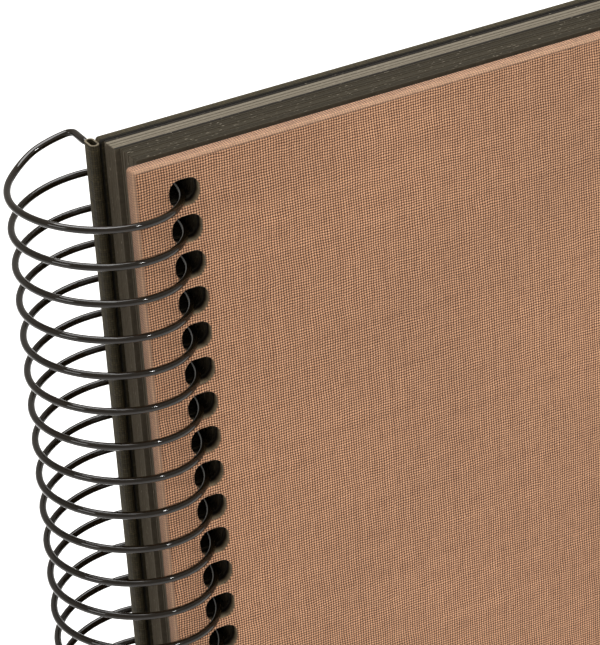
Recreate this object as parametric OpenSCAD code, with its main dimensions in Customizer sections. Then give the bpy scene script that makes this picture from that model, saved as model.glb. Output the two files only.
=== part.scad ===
// Spiral-bound sketchbook with cloth-covered boards and heavy card leaves.
// Millimetres. The book stands on its bottom edges with its spine upright:
// +X runs from the spine to the fore-edge, +Y from the front cover to the back, +Z is up.
// The origin is under the middle of the whole outline, and the axis of the wire
// coil, about which every cover and leaf turns, stands at y = 0.

/* [Book] */
// Height of both covers
cover_h = 298; // [148:1:420]
// Width of both covers, from spine edge to fore-edge
cover_w = 214; // [105:1:300]
// Corner radius of the covers and leaves
corner_r = 0.8; // [0.5:0.1:5]
// Thickness of the closed book, over both covers
book_t = 15.2; // [15.2:0.1:16]

/* [Covers] */
// Thickness of the grey board in the front cover
front_board_t = 1.85; // [1.2:0.05:1.85]
// Thickness of the grey board in the back cover
back_board_t = 1.6; // [1.2:0.05:1.6]
// Thickness of the book cloth
cloth_t = 0.35; // [0.25:0.05:0.4]
// Thickness of the paper lining glued inside each cover
lining_t = 0.3; // [0.2:0.05:0.3]
// How far the cloth is turned in over the inside of the board
turn_in = 15; // [10:1:20]
// Distance from each cover's edge to its lining
lining_inset = 2; // [1.5:0.5:4]
// How far the rolled spine edge of the back cover stands out past the front cover
roll_out = 0.9; // [0.8:0.1:1.2]
// Width of the rolled spine edge
roll_w = 1.7; // [1.6:0.1:2]
// Depth of the rolled spine edge, front to back
roll_d = 3.2; // [2.8:0.1:3.4]
// Wall of the rolled spine edge
roll_wall = 0.35; // [0.3:0.05:0.4]

/* [Leaves] */
// How many of the twenty leaves are in the front signature
front_leaves = 12; // [4:1:16]
// Thickness of a leaf
leaf_t = 0.42; // [0.2:0.02:0.42]
// Air between neighbouring leaves
leaf_gap = 0.04; // [0.03:0.01:0.04]
// Height of a leaf
leaf_h = 297; // [147:1:419]
// Width of a leaf
leaf_w = 210; // [100:1:296]
// Distance from the front cover's spine edge to the leaves
leaf_in = 2.4; // [2:0.1:3]
// How far the rear signature sits back towards the spine
rear_shift = 0.9; // [0:0.1:0.9]

/* [Holes] */
// Pitch of the punched holes, and of the wire coil
pitch = 6.35; // [6.35:0.01:6.4]
// Number of holes down the spine
holes = 46; // [10:1:46]
// Width of a hole, across the spine
hole_w = 5.6; // [5.4:0.1:5.6]
// Height of a hole, along the spine
hole_h = 4.82; // [4.8:0.01:4.84]
// Corner radius of a hole in the covers
hole_r = 2; // [1.5:0.1:2]
// Corner radius of a hole in the leaves
leaf_hole_r = 1.3; // [1:0.1:1.4]
// From the front cover's spine edge to the hole centres
hole_in = 8.6; // [8.5:0.1:8.7]
// From the covers' top edge to the first hole centre
first_hole = 5.9; // [5.5:0.1:8]

/* [Wire coil] */
// Diameter of the wire
wire_d = 1.2; // [1:0.1:1.2]
// Radius of the coil, to the middle of the wire
coil_r = 13.4; // [13.3:0.1:13.5]
// From the front cover's spine edge out to the coil's axis
coil_out = 3; // [2.9:0.1:3.1]
// Radius of the bend at each crimped end
crimp_r = 1.4; // [1.2:0.1:2]

/* [Hidden] */
$fn = 64;
// The closed book stands a little forward of the coil's axis.
book_forward = 0.4;
front_y = -book_t / 2 - book_forward;
back_y = front_y + book_t;
front_t = cloth_t + front_board_t + lining_t;
back_t = cloth_t + back_board_t + lining_t;
front_inner_y = front_y + front_t;
back_inner_y = back_y - back_t;
leaf_step = leaf_t + leaf_gap;
rear_leaves = 20 - front_leaves;
back_cover_gap = 0.16;
signature_gap = 0.23;
rear_y = back_inner_y - back_cover_gap - rear_leaves * leaf_step;
front_leaf_y = rear_y - signature_gap - front_leaves * leaf_step;
leaf_below_cover = 0.1;
leaf_z = cover_h - leaf_h - leaf_below_cover;

// Everything is placed from the front cover's spine edge, which stands at spine_x.
outline_left = coil_out + coil_r + wire_d / 2;
spine_x = (outline_left - cover_w) / 2;
axis_x = spine_x - coil_out;
hole_x = spine_x + hole_in;
back_spine_x = spine_x - roll_out + roll_w;

// A leaf that turns half a turn meets the wire half a pitch higher up, so at rest
// the wire lies low in the holes and leaves room for that above it.
first_hole_z = cover_h - first_hole;
wire_below_hole = 1.8;
leaf_hole_drop = 0.25;
leaf_hole_h = hole_h + 0.14;
back_hole_drop = 0.5;
first_turn_z = first_hole_z - wire_below_hole;

// Each turn is two half circles tilted in opposite ways, which meet end to end
// with their tangents along Y, so the wire climbs half a pitch in each.
arc_r = sqrt(coil_r * coil_r + pitch * pitch / 16);
tilt = asin(pitch / 4 / arc_r);
top_tilt = 11.5;
top_end_angle = 82;
bottom_end_angle = 88;
bottom_leg = 2.4;

// The roll stands proud of the back cover and stops short of its top and bottom.
roll_proud = 0.5;
roll_short = 0.4;
roll_back_y = back_y + roll_proud;
leg_to_roll = 0.25;
top_leg = (arc_r - crimp_r) * sin(top_end_angle) - roll_back_y - leg_to_roll;

// Lengths of wire lap inside each other by lap degrees, each a hair thinner.
hair = 0.04;
lap = 3;
leg_lap = 0.25;

function leaf_y(i) = i <= front_leaves
    ? front_leaf_y + (i - 1) * leaf_step
    : rear_y + (i - 1 - front_leaves) * leaf_step;
function leaf_x(i) = spine_x + leaf_in - (i > front_leaves ? rear_shift : 0);

// A flat rectangle with rounded corners, drawn as width by height.
module rounded(w, h, r) {
    translate([r, 0]) square([w - 2 * r, h]);
    translate([0, r]) square([w, h - 2 * r]);
    for (x = [r, w - r], z = [r, h - r])
        translate([x, z]) circle(r);
}

// Stands a flat XZ outline up as a sheet of thickness t whose front face is at y.
module sheet(y, t) {
    translate([0, y + t, 0]) rotate([90, 0, 0]) linear_extrude(t) children();
}

// The row of punched holes, as an XZ outline, drop below their places in the front cover.
module hole_row(drop, h, r) {
    for (n = [0 : holes - 1])
        translate([hole_x - hole_w / 2, first_hole_z - drop - n * pitch - h / 2])
            rounded(hole_w, h, r);
}

module cover_holes(drop) {
    hole_row(drop, hole_h, hole_r);
}

// A punched rectangular sheet of a cover, from its spine edge x.
module punched_sheet(x, z, w, h, r, y, t, drop) {
    sheet(y, t) difference() {
        translate([x, z]) rounded(w, h, r);
        cover_holes(drop);
    }
}

// The cloth over a board: one outer face, four edges and the turned-in margins.
module cloth_wrap(x, w, outer_y, board_y, board_t, inner_y, drop) {
    punched_sheet(x, 0, w, cover_h, corner_r, outer_y, cloth_t, drop);
    sheet(board_y, board_t) difference() {
        translate([x, 0]) rounded(w, cover_h, corner_r);
        translate([x + cloth_t, cloth_t])
            square([w - 2 * cloth_t, cover_h - 2 * cloth_t]);
    }
    sheet(inner_y, cloth_t / 2) difference() {
        translate([x, 0]) rounded(w, cover_h, corner_r);
        translate([x + turn_in, turn_in])
            square([w - 2 * turn_in, cover_h - 2 * turn_in]);
        cover_holes(drop);
    }
}

// The lining paper: it covers the turned-in margins and is pressed against the board
// inside them.
module lining(x, w, y, pad_y, drop) {
    inset = lining_inset;
    punched_sheet(x + inset, inset, w - 2 * inset, cover_h - 2 * inset, corner_r,
        y, lining_t - cloth_t / 2, drop);
    sheet(pad_y, cloth_t / 2)
        translate([x + turn_in, turn_in])
            square([w - 2 * turn_in, cover_h - 2 * turn_in]);
}

module front_cloth() {
    board_y = front_y + cloth_t;
    color("tan")
        cloth_wrap(spine_x, cover_w, front_y, board_y, front_board_t,
            board_y + front_board_t, 0);
}

module front_board() {
    color("darkgray")
        punched_sheet(spine_x + cloth_t, cloth_t, cover_w - 2 * cloth_t,
            cover_h - 2 * cloth_t, corner_r, front_y + cloth_t, front_board_t, 0);
}

module front_lining() {
    pad_y = front_inner_y - lining_t;
    color("dimgray")
        lining(spine_x, cover_w, pad_y + cloth_t / 2, pad_y, 0);
}

module leaf(i) {
    color("darkslategray")
        sheet(leaf_y(i), leaf_t) difference() {
            translate([leaf_x(i), leaf_z]) rounded(leaf_w, leaf_h, corner_r);
            hole_row(leaf_hole_drop, leaf_hole_h, leaf_hole_r);
        }
}

module back_lining() {
    color("dimgray")
        lining(back_spine_x, cover_w - roll_w, back_inner_y,
            back_inner_y + lining_t - cloth_t / 2, back_hole_drop);
}

module back_board() {
    color("darkgray")
        punched_sheet(back_spine_x + cloth_t, cloth_t, cover_w - roll_w - 2 * cloth_t,
            cover_h - 2 * cloth_t, corner_r, back_inner_y + lining_t, back_board_t,
            back_hole_drop);
}

module back_cloth() {
    board_y = back_inner_y + lining_t;
    color("black")
        cloth_wrap(back_spine_x, cover_w - roll_w, back_y - cloth_t, board_y,
            back_board_t, board_y - cloth_t / 2, back_hole_drop);
}

// The hollow rolled edge of cloth along the back cover's spine, open at both ends.
module spine_roll() {
    inner_w = roll_w - 2 * roll_wall;
    inner_d = roll_d - 2 * roll_wall;
    color("black")
        translate([back_spine_x - roll_w, roll_back_y - roll_d, roll_short])
            linear_extrude(cover_h - 2 * roll_short) difference() {
                rounded(roll_w, roll_d, (roll_w - hair) / 2);
                translate([roll_wall, roll_wall])
                    rounded(inner_w, inner_d, (inner_w - hair) / 2);
            }
}

// A bent length of wire in its own plane, from angle a, over sweep degrees, made
// a few hairs thinner than the wire so that it starts inside the length before it.
module wire_arc(r, a, sweep, hairs = 0) {
    rotate([0, 0, a]) rotate_extrude(angle = sweep)
        translate([r, 0]) rotate(90) circle(d = wire_d - hairs * hair);
}

// A crimp: a tight bend inwards from the point at angle a of the coil, then a short
// straight leg.
module crimp(a, end_a, leg) {
    bend = arc_r - crimp_r;
    first = min(a, end_a) - (end_a > a ? lap : 0);
    translate([bend * cos(a), bend * sin(a), 0]) {
        wire_arc(crimp_r, first, abs(end_a - a) + lap, 2);
        translate([crimp_r * cos(end_a), leg_lap, 0])
            rotate([90, 0, 0]) cylinder(d = wire_d - 3 * hair, h = leg + leg_lap);
    }
}

// The half turn in front of the coil's axis, climbing from z at the holes to the left.
module front_half(z) {
    translate([0, 0, z + pitch / 4]) rotate([0, tilt, 0]) wire_arc(arc_r, 180, 180);
}

// The half turn behind the axis, climbing from z at the left to the next holes.
module back_half(z) {
    translate([0, 0, z + pitch / 4]) rotate([0, -tilt, 0])
        wire_arc(arc_r, -lap, 180 + 2 * lap, 1);
}

// The top end: the last turn comes round behind, bends inwards and stops at the roll.
module top_end() {
    z = first_turn_z + pitch / 2 + arc_r * sin(top_tilt);
    translate([arc_r * cos(top_tilt) - coil_r, 0, z]) rotate([0, -top_tilt, 0]) {
        wire_arc(arc_r, top_end_angle, 180 + lap - top_end_angle, 1);
        crimp(top_end_angle, 0, top_leg);
    }
}

// The bottom end: the wire leaves the last hole, comes round behind and bends inwards.
module bottom_end(z) {
    translate([0, 0, z - pitch / 4]) rotate([0, -tilt, 0]) {
        wire_arc(arc_r, -lap, bottom_end_angle + lap, 1);
        crimp(bottom_end_angle, 180, bottom_leg);
    }
}

module spiral_wire() {
    color("black") translate([axis_x, 0, 0]) {
        bottom_end(first_turn_z - (holes - 1) * pitch);
        for (n = [0 : holes - 1])
            front_half(first_turn_z - n * pitch);
        for (n = [1 : holes - 1])
            back_half(first_turn_z + pitch / 2 - n * pitch);
        top_end();
    }
}

front_cloth();
front_board();
front_lining();
leaf(1);  // leaf_01
leaf(2);  // leaf_02
leaf(3);  // leaf_03
leaf(4);  // leaf_04
leaf(5);  // leaf_05
leaf(6);  // leaf_06
leaf(7);  // leaf_07
leaf(8);  // leaf_08
leaf(9);  // leaf_09
leaf(10);  // leaf_10
leaf(11);  // leaf_11
leaf(12);  // leaf_12
leaf(13);  // leaf_13
leaf(14);  // leaf_14
leaf(15);  // leaf_15
leaf(16);  // leaf_16
leaf(17);  // leaf_17
leaf(18);  // leaf_18
leaf(19);  // leaf_19
leaf(20);  // leaf_20
back_lining();
back_board();
back_cloth();
spine_roll();
spiral_wire();
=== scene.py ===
"""A spiral-bound sketchbook: linen and book-cloth boards, dark card leaves and a wire coil,
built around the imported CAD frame. Metres; +X spine to fore-edge, +Y front to back, +Z up."""

import math
import random

import bmesh
import bpy
from mathutils import Matrix, Vector


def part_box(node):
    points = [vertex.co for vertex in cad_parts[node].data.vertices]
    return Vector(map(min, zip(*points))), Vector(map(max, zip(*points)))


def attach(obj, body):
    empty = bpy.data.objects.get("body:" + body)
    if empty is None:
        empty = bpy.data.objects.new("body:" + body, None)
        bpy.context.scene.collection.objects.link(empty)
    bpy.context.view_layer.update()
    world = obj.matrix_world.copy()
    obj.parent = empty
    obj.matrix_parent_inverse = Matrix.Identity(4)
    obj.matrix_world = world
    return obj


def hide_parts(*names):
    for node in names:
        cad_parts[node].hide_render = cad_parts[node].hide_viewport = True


MM = 0.001
QUARTER = math.pi / 2

# The punching. A hole is given as its width, height and corner radius. The covers' holes
# are drawn a little inside the CAD's, because the cloth is pressed into them.
PITCH = 6.35 * MM
HOLES = 46
COVER_HOLE = (5.3 * MM, 4.76 * MM, 2.0 * MM)
LEAF_HOLE = (5.6 * MM, 4.96 * MM, 1.3 * MM)
HOLE_IN = 8.6 * MM  # a hole's middle, from the front cover's spine edge
FIRST_HOLE = 5.9 * MM  # the top hole's middle, from the front cover's top
LEAF_DROP = 0.25 * MM  # how much lower the holes are in the leaves
BACK_DROP = 0.5 * MM  # and in the back cover
CELL_HALF_W = 3.3 * MM  # the finer part of the mesh round each hole
COVER_HOLE_STEPS = 10  # quads to a quarter of a hole's edge
LEAF_HOLE_STEPS = 4

# The wire coil. It follows the CAD's wire, but for the dip in its top end.
WIRE_D = 1.2 * MM
WIRE_SIDES = 14
COIL_R = 13.4 * MM
COIL_OUT = 3.0 * MM  # the coil's axis, from the front cover's spine edge
ARC_R = math.hypot(COIL_R, PITCH / 4)
HALF_TURN_STEPS = 30
CRIMP_R = 1.4 * MM
WIRE_BELOW_HOLE = 1.8 * MM
TOP_TILT = math.radians(11.5)
TOP_END_ANGLE = math.radians(82)
TOP_FREE = math.radians(105)  # the top end is in its own plane up to here
TOP_HELD = math.radians(138)  # and has the coil's slope from here on
BOTTOM_END_ANGLE = math.radians(88)
TAIL_STEPS = 18
LEG_TO_ROLL = 0.25 * MM
BOTTOM_LEG = 2.4 * MM

# The cloth over the boards, and the roll of it along the back cover's spine edge.
CLOTH_T = 0.35 * MM
SHELL_T = 0.3 * MM  # the cloth as drawn, clear of the board under it
OUTER_FOLD_R = 0.65 * MM
OUTER_FOLD_STEPS = 8
EDGE_HIGHLIGHT = 0.35  # the painted highlight on the cloth where it crosses the board's edge, as a share of a fold's
INNER_FOLD_R = 0.5 * MM
INNER_FOLD_STEPS = 6
TURN_IN_SHOWN = 3.2 * MM
HOLE_RIM = 0.16 * MM
FRAY = 0.04 * MM
LINEN_THREAD = 0.45 * MM
BOOK_CLOTH_THREAD = 0.4 * MM
ROLL_WALL = 0.35 * MM
ROLL_LIP = 0.1 * MM
ROLL_SIDES = 32

# The leaves.
LEAVES = 20
FRONT_LEAVES = 12
LEAF_CORNER_R = 0.2 * MM
LEAF_BURR = 0.05 * MM
SLIP_X = 0.09 * MM
SLIP_Z = 0.07 * MM

# The camera, and the lamps: name, place, size and watts.
AZIMUTH = math.radians(-26.42)
ELEVATION = math.radians(28.79)
ROLL = math.radians(4.07)
DISTANCE = 573.6 * MM
LENS = 200.5
AIM_IN = 26.76 * MM  # the aim on the front cover, from its spine edge
AIM_DOWN = 34.51 * MM  # and from its top
LAMPS = (
    ("key", Vector((0.75, -1.0, 1.1)), 0.1, 6),
    ("fill", Vector((-1.0, -0.3, 0.7)), 0.4, 3),
    ("over", Vector((0.1, 0.2, 1.7)), 1.0, 36),
)
SURROUND = (1, 0.97, 0.91, 1)
SURROUND_STRENGTH = 0.68
FLOOR_HALF = 6.0

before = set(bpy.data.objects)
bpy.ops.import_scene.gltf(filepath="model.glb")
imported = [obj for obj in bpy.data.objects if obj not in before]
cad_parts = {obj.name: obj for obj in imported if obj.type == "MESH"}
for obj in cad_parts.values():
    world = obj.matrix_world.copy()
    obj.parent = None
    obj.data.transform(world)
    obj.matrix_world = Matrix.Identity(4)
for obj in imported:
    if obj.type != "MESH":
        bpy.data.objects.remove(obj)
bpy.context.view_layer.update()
front_low, front_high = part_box("front_cloth")
roll_low, roll_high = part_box("spine_roll")
spine_x = front_low.x
axis_x = spine_x - COIL_OUT
hole_x = spine_x + HOLE_IN
first_hole_z = front_high.z - FIRST_HOLE
rng = random.Random(7)


# ---------------------------------------------------------------- building meshes


class Patches:
    """Quads between rows of (point, cloth coordinate, cut), welded into one mesh.

    The cloth coordinate is the place on the unfolded sheet, and the painted light of a fold
    there: a painted highlight above 0, painted shade below 0. cut is 1 on a cut edge and 0 on
    a face."""

    def __init__(self):
        self.bm = bmesh.new()
        self.cloth = self.bm.verts.layers.float_vector.new("cloth")
        self.cut = self.bm.verts.layers.float.new("cut")

    def row(self, entries):
        made = []
        for point, cloth, cut in entries:
            vert = self.bm.verts.new(point)
            vert[self.cloth] = cloth
            vert[self.cut] = cut
            made.append(vert)
        return made

    def strips(self, rows, closed=False, keep=None):
        """Quads from each row to the next. keep(i, j) says which quads are wanted."""
        made = [self.row(entries) for entries in rows]
        for j, (low, high) in enumerate(zip(made, made[1:])):
            count = len(low)
            for i in range(count if closed else count - 1):
                if keep is None or keep(i, j):
                    k = (i + 1) % count
                    self.bm.faces.new((low[i], low[k], high[k], high[i]))

    def fan(self, entries, centre):
        """Closes a round row with triangles to its centre."""
        made = self.row(entries)
        middle = self.row([centre])[0]
        for i, vert in enumerate(made):
            self.bm.faces.new((vert, made[(i + 1) % len(made)], middle))

    def mesh(self, name, sharp=math.radians(50)):
        """The welded mesh, smooth but for its sharp edges."""
        bmesh.ops.remove_doubles(self.bm, verts=self.bm.verts, dist=0.001 * MM)
        loose = [v for v in self.bm.verts if not v.link_faces]
        bmesh.ops.delete(self.bm, geom=loose, context="VERTS")
        bmesh.ops.recalc_face_normals(self.bm, faces=self.bm.faces)
        mesh = bpy.data.meshes.new(name)
        self.bm.to_mesh(mesh)
        self.bm.free()
        mesh.shade_smooth()
        mesh.set_sharp_from_angle(angle=sharp)
        return mesh


def add_piece(name, mesh, body, material, replaced):
    """A new piece of the object, in place, that rides on a body and stands for a CAD node."""
    mesh.materials.append(material)
    piece = bpy.data.objects.new(name, mesh)
    bpy.context.scene.collection.objects.link(piece)
    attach(piece, body)
    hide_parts(replaced)
    return piece


def flat_normals(piece):
    """Keeps the wide faces of a piece shading flat right up to their rounded edges."""
    weigh = piece.modifiers.new("flat faces", "WEIGHTED_NORMAL")
    weigh.keep_sharp = True


def spread(a, b, count):
    """count + 1 even steps from a to b."""
    return [a + (b - a) * i / count for i in range(count + 1)]


def square_point(i, k):
    """Point i of the 4k points round a square of half-width 1, from the middle of +X."""
    side, step = divmod(i + k // 2, k)
    along = 2 * step / k - 1
    return [(1, along), (-along, 1), (-1, -along), (along, -1)][side % 4]


def rim_point(i, k, hole, grow):
    """Point i of the 4k points round a hole, grow outside it: (x, z, outward x, z)."""
    width, height, radius = hole
    quarter, step = divmod(i, k)
    angle = (quarter + step / (k - 1)) * QUARTER
    side_x, side_z = [(1, 1), (-1, 1), (-1, -1), (1, -1)][quarter]
    out_x, out_z = math.cos(angle), math.sin(angle)
    x = side_x * (width / 2 - radius) + (radius + grow) * out_x
    z = side_z * (height / 2 - radius) + (radius + grow) * out_z
    return x, z, out_x, out_z


def punched_face(patches, grid, hole, y, k, rim_grow):
    """A flat face of quads at y on a sheet's grid, with a ring of quads round each hole,
    k of them to a quarter. The ring ends rim_grow outside the hole."""
    xs, zs, columns, rows, centres = grid

    def keep(i, j):
        return not (columns[0] <= i < columns[1] and rows[0] <= j < rows[1])

    patches.strips([[((x, y, z), (x, z, 0), 0) for x in xs] for z in zs], keep=keep)
    for centre in centres:
        cell = []
        rim = []
        for i in range(4 * k):
            across, up = square_point(i, k)
            x, z = hole_x + CELL_HALF_W * across, centre + PITCH / 2 * up
            cell.append(((x, y, z), (x, z, 0), 0))
            x, z, _, _ = rim_point(i, k, hole, rim_grow)
            rim.append(((hole_x + x, y, centre + z), (hole_x + x, centre + z, 0), 0))
        patches.strips([cell, rim], closed=True)


def hole_walls(patches, centres, hole, k, profile, ragged=0.0):
    """The wall of each hole: profile is a list of (grow, y, cut) from face to face, and
    ragged is how far a cut thread sticks in or out."""
    for centre in centres:
        rows = []
        for grow, y, cut in profile:
            row = []
            for i in range(4 * k):
                x, z, out_x, out_z = rim_point(i, k, hole, grow)
                torn = rng.uniform(-ragged, ragged) * cut
                x, z = hole_x + x + out_x * torn, centre + z + out_z * torn
                row.append(((x, y, z), (x, z, 0), cut))
            rows.append(row)
        patches.strips(rows, closed=True)


def outline(xs, zs, corner_steps):
    """Round the rectangle xs by zs once: (x, z, outward x, outward z), turning at corners."""
    sides = [
        [(x, zs[0]) for x in xs],
        [(xs[-1], z) for z in zs],
        [(x, zs[-1]) for x in reversed(xs)],
        [(xs[0], z) for z in reversed(zs)],
    ]
    around = []
    for n, side in enumerate(sides):
        facing = (n - 1) * QUARTER
        around += [(x, z, math.cos(facing), math.sin(facing)) for x, z in side]
        x, z = side[-1]
        for step in range(1, corner_steps):
            turn = facing + QUARTER * step / corner_steps
            around.append((x, z, math.cos(turn), math.sin(turn)))
    return around


def edge_rows(around, box, reach, profile):
    """Rows of points round a sheet's edge. The outline lies reach inside box, and profile
    is a list of (inset from box, y, distance unfolded, fold's painted light, cut)."""
    (x0, x1), (z0, z1) = box
    rows = []
    for inset, y, unfolded, fold_light, cut in profile:
        row = []
        for cx, cz, out_x, out_z in around:
            step = reach - inset
            x = min(max(cx + out_x * step, x0 + inset), x1 - inset)
            z = min(max(cz + out_z * step, z0 + inset), z1 - inset)
            cloth = (cx + out_x * unfolded, cz + out_z * unfolded, fold_light)
            row.append(((x, y, z), cloth, cut))
        rows.append(row)
    return rows


def sheet_grid(box, reach, drop, k, left, right, ends):
    """The grid of a punched sheet's face: xs, zs, the columns and rows that the holes'
    cells take up, and the holes' centres. A cell has k quads a side; left, right and
    ends count the quads beside and beyond the cells."""
    (x0, x1), (z0, z1) = box
    centres = [first_hole_z - drop - n * PITCH for n in range(HOLES)]
    low, high = centres[-1] - PITCH / 2, centres[0] + PITCH / 2
    xs = spread(x0 + reach, hole_x - CELL_HALF_W, left)
    xs += spread(hole_x - CELL_HALF_W, hole_x + CELL_HALF_W, k)[1:]
    xs += spread(hole_x + CELL_HALF_W, x1 - reach, right)[1:]
    zs = spread(z0 + reach, low, ends)
    zs += spread(low, high, k * HOLES)[1:]
    zs += spread(high, z1 - reach, ends)[1:]
    return xs, zs, (left, left + k), (ends, ends + k * HOLES), centres


# ---------------------------------------------------------------- the covers


def fold_profile(outer_y, inner_y, inward):
    """Cloth round a board's edge: over the outer fold, across the edge, round the inner
    fold and in under the lining. inward is +1 or -1, the way from outer to inner. The
    fold's painted light is above 0, a painted highlight, on the outer fold and across the
    edge, and below 0, painted shade, in the inner fold."""
    profile = []
    for n in range(OUTER_FOLD_STEPS + 1):
        turn = QUARTER * n / OUTER_FOLD_STEPS
        fold_light = math.sin(2 * turn) if n < OUTER_FOLD_STEPS else EDGE_HIGHLIGHT
        profile.append((OUTER_FOLD_R * (1 - math.sin(turn)),
                        outer_y + inward * OUTER_FOLD_R * (1 - math.cos(turn)),
                        OUTER_FOLD_R * turn, fold_light, 0))
    edge = abs(inner_y - outer_y) - OUTER_FOLD_R - INNER_FOLD_R
    past = OUTER_FOLD_R * QUARTER + edge
    for n in range(INNER_FOLD_STEPS + 1):
        turn = QUARTER * n / INNER_FOLD_STEPS
        profile.append((INNER_FOLD_R * (1 - math.cos(turn)),
                        inner_y - inward * INNER_FOLD_R * (1 - math.sin(turn)),
                        past + INNER_FOLD_R * turn, -math.sin(2 * turn), 0))
    past += INNER_FOLD_R * QUARTER
    for inset in spread(INNER_FOLD_R, TURN_IN_SHOWN, 4)[1:]:
        profile.append((inset, inner_y, past + inset - INNER_FOLD_R, 0, 0))
    return profile


def cloth_walls(patches, centres, outer_y, inward, k):
    """The holes' edges in the cloth: pressed in over a rounded dent, then cut through."""
    dent = [(HOLE_RIM, 0, 0), (0.08 * MM, 0.015 * MM, 0.1), (0.03 * MM, 0.06 * MM, 0.4),
            (0, 0.14 * MM, 0.8), (0, CLOTH_T + 0.01 * MM, 1)]
    walls = [(grow, outer_y + inward * depth, cut) for grow, depth, cut in dent]
    hole_walls(patches, centres, COVER_HOLE, k, walls, ragged=FRAY)


def cloth_cover(name, node, inward, drop, body, material):
    """The cloth glued over a board and turned in, punched with the holes. inward is +1 or
    -1, the way along Y from the cloth to the leaves; drop is how low the holes are."""
    low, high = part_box(node)
    k = COVER_HOLE_STEPS
    box = (low.x, high.x), (low.z, high.z)
    outer_y, inner_y = (low.y, high.y) if inward > 0 else (high.y, low.y)
    grid = sheet_grid(box, OUTER_FOLD_R, drop, k, left=6, right=40, ends=3)
    patches = Patches()
    punched_face(patches, grid, COVER_HOLE, outer_y, k, HOLE_RIM)
    cloth_walls(patches, grid[4], outer_y, inward, k)
    around = outline(grid[0], grid[1], corner_steps=6)
    folds = edge_rows(around, box, OUTER_FOLD_R, fold_profile(outer_y, inner_y, inward))
    patches.strips(folds, closed=True)
    piece = add_piece(name, patches.mesh(name), body, material, node)
    thick = piece.modifiers.new("cloth thickness", "SOLIDIFY")
    thick.thickness = SHELL_T
    thick.offset = -1
    flat_normals(piece)


def roll_ring(inset, z, cut):
    """A row round the roll, inset from its outside: two half circles, and a point halfway
    along each straight side between them."""
    middle = (roll_low + roll_high) / 2
    half_w = (roll_high.x - roll_low.x) / 2
    half_d = (roll_high.y - roll_low.y) / 2
    radius = half_w - inset
    row = []
    for n in range(ROLL_SIDES):
        turn = 2 * math.pi * n / ROLL_SIDES
        stretch = math.copysign(half_d - half_w, math.sin(turn))
        if abs(math.sin(turn)) < 0.01:
            stretch = 0
        x = middle.x + radius * math.cos(turn)
        y = middle.y + radius * math.sin(turn) + stretch
        row.append(((x, y, z), (turn * half_w, z, 0), cut))
    return row


def spine_roll(material):
    """The hollow roll of cloth along the back cover's spine edge, its ends cut open."""
    low, high = roll_low.z, roll_high.z
    outer_lip, inner_lip = ROLL_LIP * 0.4, ROLL_WALL - ROLL_LIP * 0.4
    rows = [roll_ring(0, z, 0) for z in spread(low + ROLL_LIP, high - ROLL_LIP, 60)]
    rows += [roll_ring(outer_lip, high, 1), roll_ring(inner_lip, high, 1)]
    rows += [roll_ring(ROLL_WALL, z, 0) for z in spread(high - ROLL_LIP, low + ROLL_LIP, 12)]
    rows += [roll_ring(inner_lip, low, 1), roll_ring(outer_lip, low, 1)]
    rows.append(rows[0])
    patches = Patches()
    patches.strips(rows, closed=True)
    add_piece("rolled_spine_edge", patches.mesh("roll"), "back_cover", material,
              "spine_roll")


# ---------------------------------------------------------------- the leaves


def leaf_mesh(node):
    """One card leaf with its punched holes, its cut edges just rounded by the knife."""
    low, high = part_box(node)
    k = LEAF_HOLE_STEPS
    box = (low.x, high.x), (low.z, high.z)
    grid = sheet_grid(box, LEAF_CORNER_R, LEAF_DROP, k, left=1, right=3, ends=2)
    patches = Patches()
    burr = LEAF_BURR
    for y in (low.y, high.y):
        punched_face(patches, grid, LEAF_HOLE, y, k, burr)
    walls = [(burr, low.y, 0), (0, low.y + burr, 1), (0, high.y - burr, 1), (burr, high.y, 0)]
    hole_walls(patches, grid[4], LEAF_HOLE, k, walls)
    profile = [(LEAF_CORNER_R, low.y, 0, 0, 0), (burr, low.y, 0, 0, 0),
               (0, low.y + burr, 0, 0, 1), (0, high.y - burr, 0, 0, 1),
               (burr, high.y, 0, 0, 0), (LEAF_CORNER_R, high.y, 0, 0, 0)]
    around = outline(grid[0], grid[1], corner_steps=4)
    patches.strips(edge_rows(around, box, LEAF_CORNER_R, profile), closed=True)
    return patches.mesh(node, sharp=math.radians(35))


def leaves():
    """All the leaves. Each has slipped a little along its neighbours."""
    for n in range(1, LEAVES + 1):
        node = f"leaf_{n:02d}"
        front = n <= FRONT_LEAVES
        mesh = leaf_mesh(node)
        # The rear signature's two outer leaves carry painted shadow lines on their tops.
        material = leaf_paper(node, front, shadow_line_leaf=n in (FRONT_LEAVES + 1, LEAVES))
        piece = add_piece(f"card_{node}", mesh, f"{node}_body", material, node)
        slip_x, slip_z = rng.uniform(-SLIP_X, SLIP_X), rng.uniform(-SLIP_Z, SLIP_Z)
        piece.location += Vector((slip_x, 0, slip_z))
        flat_normals(piece)


# ---------------------------------------------------------------- the wire


def half_turn(centre_z, climb, start):
    """Half a turn about the coil's axis from angle start, seen from above. The front climbs
    to the left and the back to the right, so climb is -1 in front and +1 behind."""
    points = []
    for n in range(1, HALF_TURN_STEPS + 1):
        a = start + math.pi * n / HALF_TURN_STEPS
        z = centre_z + climb * PITCH / 4 * math.cos(a)
        points.append(Vector((axis_x + COIL_R * math.cos(a), ARC_R * math.sin(a), z)))
    return points


def crimp_route(start, end, leg):
    """The crimped end in its own plane: from the leg's tip, round the bend to angle start."""
    leg_steps, bend_steps = 6, 8
    bend = ARC_R - CRIMP_R
    centre = Vector((bend * math.cos(start), bend * math.sin(start), 0))
    foot = centre + Vector((CRIMP_R * math.cos(end), 0, 0))
    points = [foot + Vector((0, -leg * n / leg_steps, 0)) for n in range(leg_steps, 0, -1)]
    for n in range(bend_steps + 1):
        a = end + (start - end) * n / bend_steps
        points.append(centre + CRIMP_R * Vector((math.cos(a), math.sin(a), 0)))
    return points


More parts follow.
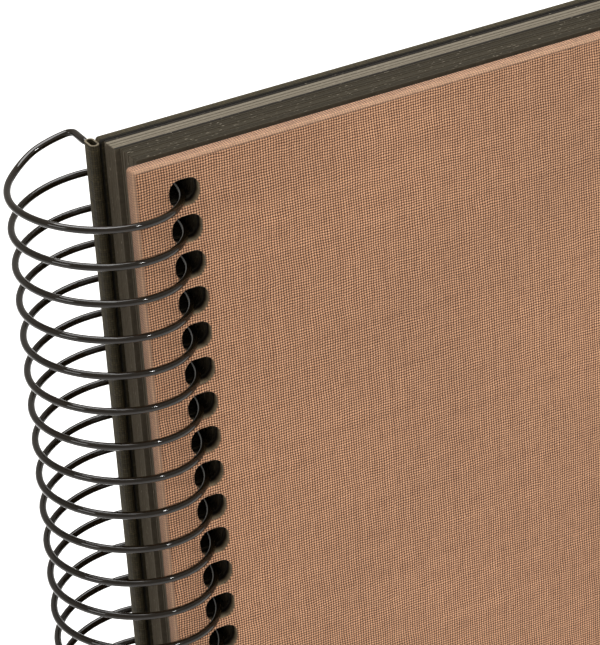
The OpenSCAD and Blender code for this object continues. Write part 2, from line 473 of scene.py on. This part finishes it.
def top_sag(a):
    """How far the top end lies under its own plane at angle a, in coil radii: next to the
    front half it keeps the coil's slope, and so clears the hole of an opened cover."""
    eased = min(max((a - TOP_FREE) / (TOP_HELD - TOP_FREE), 0), 1)
    eased = eased * eased * (3 - 2 * eased)
    slope = math.tan(TOP_TILT) - PITCH / 4 / ARC_R
    return eased * slope * (1 + math.cos(a))


def top_end(first_z):
    """From the top crimp's leg to the start of the coil's first front half."""
    bend_y = (ARC_R - CRIMP_R) * math.sin(TOP_END_ANGLE)
    points = crimp_route(TOP_END_ANGLE, 0, bend_y - roll_high.y - LEG_TO_ROLL)
    for n in range(1, HALF_TURN_STEPS + 1):
        a = TOP_END_ANGLE + (math.pi - TOP_END_ANGLE) * n / HALF_TURN_STEPS
        points.append(ARC_R * Vector((math.cos(a), math.sin(a), -top_sag(a))))
    top_z = first_z + PITCH / 2 + ARC_R * math.sin(TOP_TILT)
    place = Vector((axis_x + ARC_R * math.cos(TOP_TILT) - COIL_R, 0, top_z))
    tilt = Matrix.Rotation(-TOP_TILT, 3, "Y")
    return [place + tilt @ point for point in points]


def bottom_end(last_z):
    """From the end of the coil's last front half to the bottom crimp's leg."""
    points = crimp_route(BOTTOM_END_ANGLE, math.pi, BOTTOM_LEG)
    for n in range(1, TAIL_STEPS):
        a = BOTTOM_END_ANGLE * (1 - n / TAIL_STEPS)
        points.append(ARC_R * Vector((math.cos(a), math.sin(a), 0)))
    place = Vector((axis_x, 0, last_z - PITCH / 4))
    tilt = Matrix.Rotation(-math.asin(PITCH / 4 / ARC_R), 3, "Y")
    return [place + tilt @ point for point in reversed(points)]


def wire_route():
    """The wire's middle line, from the crimped top end down to the crimped bottom end."""
    first_z = first_hole_z - WIRE_BELOW_HOLE
    route = top_end(first_z)
    for n in range(HOLES):
        z = first_z - n * PITCH
        route += half_turn(z + PITCH / 4, -1, math.pi)
        if n < HOLES - 1:
            route += half_turn(z - PITCH / 4, 1, 0)
    return route + bottom_end(first_z - (HOLES - 1) * PITCH)


def spiral_wire(material):
    """The coil as one round tube along its route, with its cut ends a little blunted."""
    route = wire_route()
    last = len(route) - 1
    blunt = {0: 0.6, 1: 0.93, last: 0.6, last - 1: 0.93}
    tip = 0.15 * MM
    ends = [route[0] + (route[0] - route[1]).normalized() * tip,
            route[-1] + (route[-1] - route[-2]).normalized() * tip]
    rows = []
    across = Vector((0, 0, 1))
    for n, point in enumerate(route):
        ahead = (route[min(n + 1, last)] - route[max(n - 1, 0)]).normalized()
        across = (across - ahead * across.dot(ahead)).normalized()
        side = ahead.cross(across)
        radius = WIRE_D / 2 * blunt.get(n, 1)
        row = []
        for i in range(WIRE_SIDES):
            turn = 2 * math.pi * i / WIRE_SIDES
            offset = radius * (math.cos(turn) * across + math.sin(turn) * side)
            row.append((point + offset, (0, 0, 0), 0))
        rows.append(row)
    patches = Patches()
    patches.strips(rows, closed=True)
    patches.fan(rows[0], (ends[0], (0, 0, 0), 1))
    patches.fan(rows[-1], (ends[1], (0, 0, 0), 1))
    mesh = patches.mesh("coil", sharp=math.radians(60))
    add_piece("wire_coil", mesh, "back_cover", material, "spiral_wire")


# ---------------------------------------------------------------- materials


class Nodes:
    """A material's node tree, with short calls for the nodes used here."""

    def __init__(self, name):
        self.material = bpy.data.materials.new(name)
        self.material.use_nodes = True
        self.tree = self.material.node_tree
        self.shader = self.tree.nodes["Principled BSDF"]

    def plug(self, socket, value):
        if isinstance(value, bpy.types.NodeSocket):
            self.tree.links.new(value, socket)
        else:
            socket.default_value = value

    def math(self, operation, *values):
        node = self.tree.nodes.new("ShaderNodeMath")
        node.operation = operation
        for socket, value in zip(node.inputs, values):
            self.plug(socket, value)
        return node.outputs[0]

    def smooth(self, value, low, high, to_low=0.0, to_high=1.0):
        """value's place between low and high, eased, as a number from to_low to to_high."""
        node = self.tree.nodes.new("ShaderNodeMapRange")
        node.interpolation_type = "SMOOTHSTEP"
        for socket, given in zip(node.inputs, (value, low, high, to_low, to_high)):
            self.plug(socket, given)
        return node.outputs[0]

    def mix(self, share, a, b):
        """The colour a where share is 0, and b where it is 1."""
        node = self.tree.nodes.new("ShaderNodeMix")
        node.data_type = "RGBA"
        for index, value in ((0, share), (6, a), (7, b)):
            self.plug(node.inputs[index], value)
        return node.outputs[2]

    def tint(self, colour, tint, where, amount):
        """colour, mixed towards tint by amount where the number where is 1."""
        return self.mix(self.math("MULTIPLY", where, amount), colour, tint)

    def choose(self, share, a, b):
        """The number a where share is 0, and b where it is 1."""
        node = self.tree.nodes.new("ShaderNodeMix")
        for index, value in ((0, share), (2, a), (3, b)):
            self.plug(node.inputs[index], value)
        return node.outputs[0]

    def brighten(self, colour, value):
        node = self.tree.nodes.new("ShaderNodeHueSaturation")
        self.plug(node.inputs["Value"], value)
        self.plug(node.inputs["Color"], colour)
        return node.outputs[0]

    def noise(self, vector, scale, detail=2.0, roughness=0.5):
        node = self.tree.nodes.new("ShaderNodeTexNoise")
        self.plug(node.inputs["Vector"], vector)
        node.inputs["Scale"].default_value = scale
        node.inputs["Detail"].default_value = detail
        node.inputs["Roughness"].default_value = roughness
        return node.outputs["Fac"]

    def random(self, value, seed):
        """A random number from 0 to 1 for each whole value."""
        node = self.tree.nodes.new("ShaderNodeTexWhiteNoise")
        node.noise_dimensions = "2D"
        vector = self.tree.nodes.new("ShaderNodeCombineXYZ")
        self.plug(vector.inputs[0], value)
        vector.inputs[1].default_value = seed
        self.plug(node.inputs["Vector"], vector.outputs[0])
        return node.outputs["Value"]

    def attribute(self, name, output="Vector"):
        node = self.tree.nodes.new("ShaderNodeAttribute")
        node.attribute_name = name
        return node.outputs[output]

    def place(self):
        return self.tree.nodes.new("ShaderNodeTexCoord").outputs["Object"]

    def stretched(self, vector, scale):
        node = self.tree.nodes.new("ShaderNodeVectorMath")
        node.operation = "MULTIPLY"
        self.plug(node.inputs[0], vector)
        node.inputs[1].default_value = scale
        return node.outputs[0]

    def split(self, vector):
        node = self.tree.nodes.new("ShaderNodeSeparateXYZ")
        self.plug(node.inputs[0], vector)
        return node.outputs

    def bump(self, height, distance, under=None):
        """A normal from height, in metres of distance, on top of the normal under."""
        node = self.tree.nodes.new("ShaderNodeBump")
        node.inputs["Strength"].default_value = 1.0
        node.inputs["Distance"].default_value = distance
        self.plug(node.inputs["Height"], height)
        if under is not None:
            self.plug(node.inputs["Normal"], under)
        return node.outputs[0]

    def finish(self, colour, normal, roughness, **values):
        """Sets the shader's inputs, the rest of them by name, and returns the material."""
        self.plug(self.shader.inputs["Base Color"], colour)
        self.plug(self.shader.inputs["Normal"], normal)
        self.plug(self.shader.inputs["Roughness"], roughness)
        for name, value in values.items():
            self.shader.inputs[name.replace("_", " ")].default_value = value
        return self.material


def rgb(red, green, blue):
    """A colour given as it looks, 0 to 255, in the linear values that shaders take."""
    def linear(value):
        value /= 255
        return value / 12.92 if value <= 0.04045 else ((value + 0.055) / 1.055) ** 2.4
    return (linear(red), linear(green), linear(blue), 1.0)


def thread_place(n, cloth, along, thread, scale, wander):
    """How many threads along a place lies. They stray from straight by up to half wander."""
    stray = n.math("MULTIPLY", n.math("SUBTRACT", n.noise(cloth, scale), 0.5), wander)
    return n.math("ADD", n.math("DIVIDE", along, thread), stray)


def thread_round(n, across):
    """A thread's round top: 1 along its middle and 0.1 at its sides."""
    from_middle = n.math("SUBTRACT", n.math("FRACT", across), 0.5)
    return n.math("MULTIPLY_ADD", n.math("MULTIPLY", from_middle, from_middle), -3.6, 1)


def thread_wave(n, along, other, sign):
    """A thread's rise over one crossing thread and fall under the next."""
    phase = n.math("ADD", n.math("SUBTRACT", along, 0.5), other)
    wave = n.math("COSINE", n.math("MULTIPLY", phase, math.pi))
    return n.math("MULTIPLY", wave, 0.5 * sign)


def weave(n, thread, wander):
    """Plain weave: (height, a tone for each thread, the folds' painted light, cloth
    coordinate). The height is about 0.1 in the pinholes and 1.5 on the crowns."""
    cloth = n.attribute("cloth")
    x, z, fold_light = n.split(cloth)
    u = thread_place(n, cloth, x, thread, 160, wander)
    v = thread_place(n, cloth, z, thread, 210, wander)
    column = n.math("FLOOR", u)
    row = n.math("FLOOR", v)
    upright = n.math("ADD", thread_round(n, u), thread_wave(n, v, column, 1))
    level = n.math("ADD", thread_round(n, v), thread_wave(n, u, row, -1))
    height = n.math("MAXIMUM", upright, level)
    upright_on_top = n.math("GREATER_THAN", upright, level)
    tone = n.choose(upright_on_top, n.random(row, 8.0), n.random(column, 3.0))
    return height, tone, fold_light, cloth


def linen():
    """Tan linen in plain weave, with painted highlights on its thread crowns and outer folds,
    and painted shade in its inner folds.
    """
    n = Nodes("tan_linen")
    height, tone, fold_light, cloth = weave(n, LINEN_THREAD, 1.5)
    slub = n.noise(n.stretched(cloth, (1, 0.3, 0)), 1100, 3)
    # Painted highlight on each thread's crown, darker towards its sides; each thread's tone
    # and the slubs add to it.
    crown_light_and_tone = n.smooth(height, 0.85, 1.5, 0.0, 0.55)
    crown_light_and_tone = n.math("ADD", crown_light_and_tone, n.math("MULTIPLY", tone, 0.18))
    crown_light_and_tone = n.math("ADD", crown_light_and_tone, n.math("MULTIPLY", slub, 0.45))
    thread = n.mix(crown_light_and_tone, rgb(107, 70, 46), rgb(207, 158, 122))
    solid = n.smooth(height, 0.62, 1.3)
    # Painted highlight on the outer folds and the board's edge: fewer pinholes, then a pale
    # tint.
    solid = n.math("MAXIMUM", solid, n.math("MULTIPLY", fold_light, 0.15))
    colour = n.mix(solid, rgb(46, 19, 9), thread)
    colour = n.tint(colour, rgb(232, 188, 154), fold_light, 0.4)
    # Painted shade in the inner folds.
    colour = n.tint(colour, rgb(40, 26, 16), fold_light, -0.6)
    colour = n.tint(colour, rgb(176, 146, 116), n.attribute("cut", "Fac"), 0.5)
    colour = n.brighten(colour, n.smooth(n.noise(cloth, 28, 3), 0.3, 0.7, 0.95, 1.05))
    normal = n.bump(n.noise(cloth, 9000, 2), 0.02 * MM)
    normal = n.bump(height, 0.1 * MM, normal)
    return n.finish(colour, normal, 0.85, Specular_IOR_Level=0.2, Sheen_Weight=0.1,
                    Sheen_Roughness=0.5)


def book_cloth():
    """Black book cloth with a fine even weave, a painted highlight on its folds, painted shade
    in its inner folds, and paler cut ends.
    """
    n = Nodes("black_book_cloth")
    height, tone, fold_light, cloth = weave(n, BOOK_CLOTH_THREAD, 0.5)
    thread = n.mix(tone, rgb(34, 29, 17), rgb(57, 50, 32))
    colour = n.mix(n.smooth(height, 0.3, 1.1), rgb(10, 8, 5), thread)
    dust = n.smooth(n.noise(cloth, 700, 3), 0.58, 0.75)
    colour = n.tint(colour, rgb(96, 88, 74), dust, 0.2)
    # Painted highlight on the folds, then painted shade in the inner folds.
    colour = n.tint(colour, rgb(90, 82, 62), fold_light, 0.3)
    colour = n.tint(colour, rgb(8, 6, 4), fold_light, -0.9)
    colour = n.tint(colour, rgb(130, 120, 102), n.attribute("cut", "Fac"), 0.5)
    normal = n.bump(n.noise(cloth, 6000, 2), 0.015 * MM)
    normal = n.bump(height, 0.06 * MM, normal)
    return n.finish(colour, normal, 0.7, Specular_IOR_Level=0.15)


def grey_board(name, face_y, inner_y):
    """Grey-beige millboard, with flecked pulp; the punched walls get painted shade, unevenly
    darker further in.
    """
    n = Nodes(name)
    place = n.place()
    pulp = n.noise(place, 2500, 4, 0.7)
    # Painted shade in the holes: darker the deeper into the board, unevenly.
    depth = n.smooth(n.split(place)[1], face_y, inner_y)
    depth = n.math("ADD", depth, n.math("MULTIPLY", n.noise(place, 900, 3), 0.3))
    colour = n.mix(pulp, rgb(128, 112, 88), rgb(178, 162, 134))
    colour = n.mix(depth, colour, rgb(24, 18, 12))
    normal = n.bump(pulp, 0.05 * MM)
    return n.finish(colour, normal, 0.9, Specular_IOR_Level=0.15)


def lining_paper():
    """Dark lining paper, smooth, with a faint fibre and paler clouds in it."""
    n = Nodes("lining_paper")
    place = n.place()
    fibre = n.noise(n.stretched(place, (1, 1, 0.3)), 1800, 4, 0.65)
    colour = n.mix(fibre, rgb(30, 27, 22), rgb(52, 48, 40))
    colour = n.tint(colour, rgb(66, 61, 52), n.noise(place, 60, 2), 0.2)
    normal = n.bump(fibre, 0.02 * MM)
    return n.finish(colour, normal, 0.75, Specular_IOR_Level=0.3)


def painted_top_light(front, shadow_line_leaf):
    """The darkest and palest look of a leaf's top edge, as painted light: the rear signature's
    tops get a painted highlight and the front signature's painted shade, and the rear
    signature's two outer leaves get black tops as painted shadow lines along it."""
    # Painted shadow lines: the rear signature's two outer leaves get black tops.
    if shadow_line_leaf:
        return (8, 6, 5), (20, 17, 11)
    if front:
        return (22, 18, 10), (45, 39, 26)
    return (68, 62, 52), (110, 103, 90)


def leaf_paper(name, front, shadow_line_leaf):
    """Heavy dark card with flecked cut edges, and each leaf's own tone; its top edges get
    painted light apart from its sides.
    """
    n = Nodes(f"paper_{name}")
    place = n.place()
    vary = rng.uniform(-5, 5)
    side = (rgb(*(c + vary for c in tint)) for tint in ((44, 38, 29), (78, 70, 57)))
    top = (rgb(*(c + vary for c in tint)) for tint in painted_top_light(front, shadow_line_leaf))
    fibre = n.noise(n.stretched(place, (0.35, 3.0, 0.35)), 2600, 4, 0.7)
    # Painted light: faces that point up take the top-edge colours, the rest the side colours.
    facing = n.tree.nodes.new("ShaderNodeTexCoord").outputs["Normal"]
    top_light_share = n.smooth(n.split(facing)[2], 0.3, 0.8)
    colour = n.mix(top_light_share, n.mix(fibre, *side), n.mix(fibre, *top))
    fleck = n.noise(n.stretched(place, (0.5, 2.2, 0.5)), 2100, 2, 0.5)
    fleck = n.smooth(fleck, 0.64, 0.74)
    flecked = n.math("MULTIPLY_ADD", n.attribute("cut", "Fac"), 0.5, 0.05)
    colour = n.mix(n.math("MULTIPLY", fleck, flecked), colour, rgb(142, 134, 118))
    normal = n.bump(fibre, 0.04 * MM)
    return n.finish(colour, normal, 0.85, Specular_IOR_Level=0.2)


def black_wire():
    """Wire in glossy black enamel, faintly brown, with a slightly uneven coat."""
    n = Nodes("black_enamel_wire")
    place = n.place()
    colour = n.mix(n.noise(place, 300, 2), rgb(13, 9, 4), rgb(24, 17, 9))
    roughness = n.smooth(n.noise(place, 900, 2), 0.3, 0.7, 0.05, 0.1)
    normal = n.bump(n.noise(place, 500, 2), 0.01 * MM)
    return n.finish(colour, normal, roughness, Specular_IOR_Level=0.3)


def dress_cad_nodes():
    """The boards and linings keep their CAD shapes and get their own papers."""
    front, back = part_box("front_board"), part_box("back_board")
    paper = lining_paper()
    for node, material in (
            ("front_board", grey_board("front_millboard", front[0].y, front[1].y)),
            ("back_board", grey_board("back_millboard", back[1].y, back[0].y)),
            ("front_lining", paper), ("back_lining", paper)):
        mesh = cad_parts[node].data
        mesh.materials.clear()
        mesh.materials.append(material)


# ---------------------------------------------------------------- studio and camera


def pale_floor():
    """A wide plain floor under the book."""
    mesh = bpy.data.meshes.new("floor")
    half = FLOOR_HALF
    corners = [(-half, -half, 0), (half, -half, 0), (half, half, 0), (-half, half, 0)]
    mesh.from_pydata(corners, [], [(0, 1, 2, 3)])
    n = Nodes("pale_floor")
    tone = n.mix(n.noise(n.place(), 3, 2), (0.94, 0.94, 0.94, 1), (0.96, 0.96, 0.96, 1))
    mesh.materials.append(n.finish(tone, n.bump(n.noise(n.place(), 40), 0.1 * MM), 0.9))
    floor = bpy.data.objects.new("floor", mesh)
    bpy.context.scene.collection.objects.link(floor)


def softbox(name, place, size, power):
    """A square soft lamp aimed at the book."""
    lamp = bpy.data.lights.new(name, "AREA")
    lamp.size = size
    lamp.energy = power
    holder = bpy.data.objects.new(name, lamp)
    holder.location = place
    aim = Vector((spine_x, 0, front_high.z * 0.8)) - place
    holder.rotation_mode = "QUATERNION"
    holder.rotation_quaternion = aim.to_track_quat("-Z", "Y")
    bpy.context.scene.collection.objects.link(holder)


def studio():
    """The floor, an even white surround and soft lamps."""
    pale_floor()
    world = bpy.data.worlds.new("surround")
    world.use_nodes = True
    background = world.node_tree.nodes["Background"]
    background.inputs["Color"].default_value = SURROUND
    background.inputs["Strength"].default_value = SURROUND_STRENGTH
    bpy.context.scene.world = world
    for lamp in LAMPS:
        softbox(*lamp)


def camera():
    """A long lens close above the top spine corner, looking down at the front cover."""
    aim = Vector((spine_x + AIM_IN, front_low.y, front_high.z - AIM_DOWN))
    back = Vector((math.sin(AZIMUTH) * math.cos(ELEVATION),
                   -math.cos(AZIMUTH) * math.cos(ELEVATION), math.sin(ELEVATION)))
    lens = bpy.data.cameras.new("camera")
    lens.lens = LENS
    lens.clip_start = 0.01
    lens.clip_end = 50
    holder = bpy.data.objects.new("camera", lens)
    holder.location = aim + back * DISTANCE
    holder.rotation_mode = "QUATERNION"
    level = (-back).to_track_quat("-Z", "Y")
    turn = Matrix.Rotation(-ROLL, 3, back).to_quaternion()
    holder.rotation_quaternion = turn @ level
    bpy.context.scene.collection.objects.link(holder)
    bpy.context.scene.camera = holder


# ---------------------------------------------------------------- the sketchbook

camera()
studio()
black_cloth = book_cloth()
cloth_cover("linen_cover", "front_cloth", 1, 0, "front_cover", linen())
cloth_cover("book_cloth_cover", "back_cloth", -1, BACK_DROP, "back_cover",
            black_cloth)
spine_roll(black_cloth)
leaves()
spiral_wire(black_wire())
dress_cad_nodes()
bpy.context.scene.view_settings.view_transform = "Standard"

bpy.context.view_layer.update()
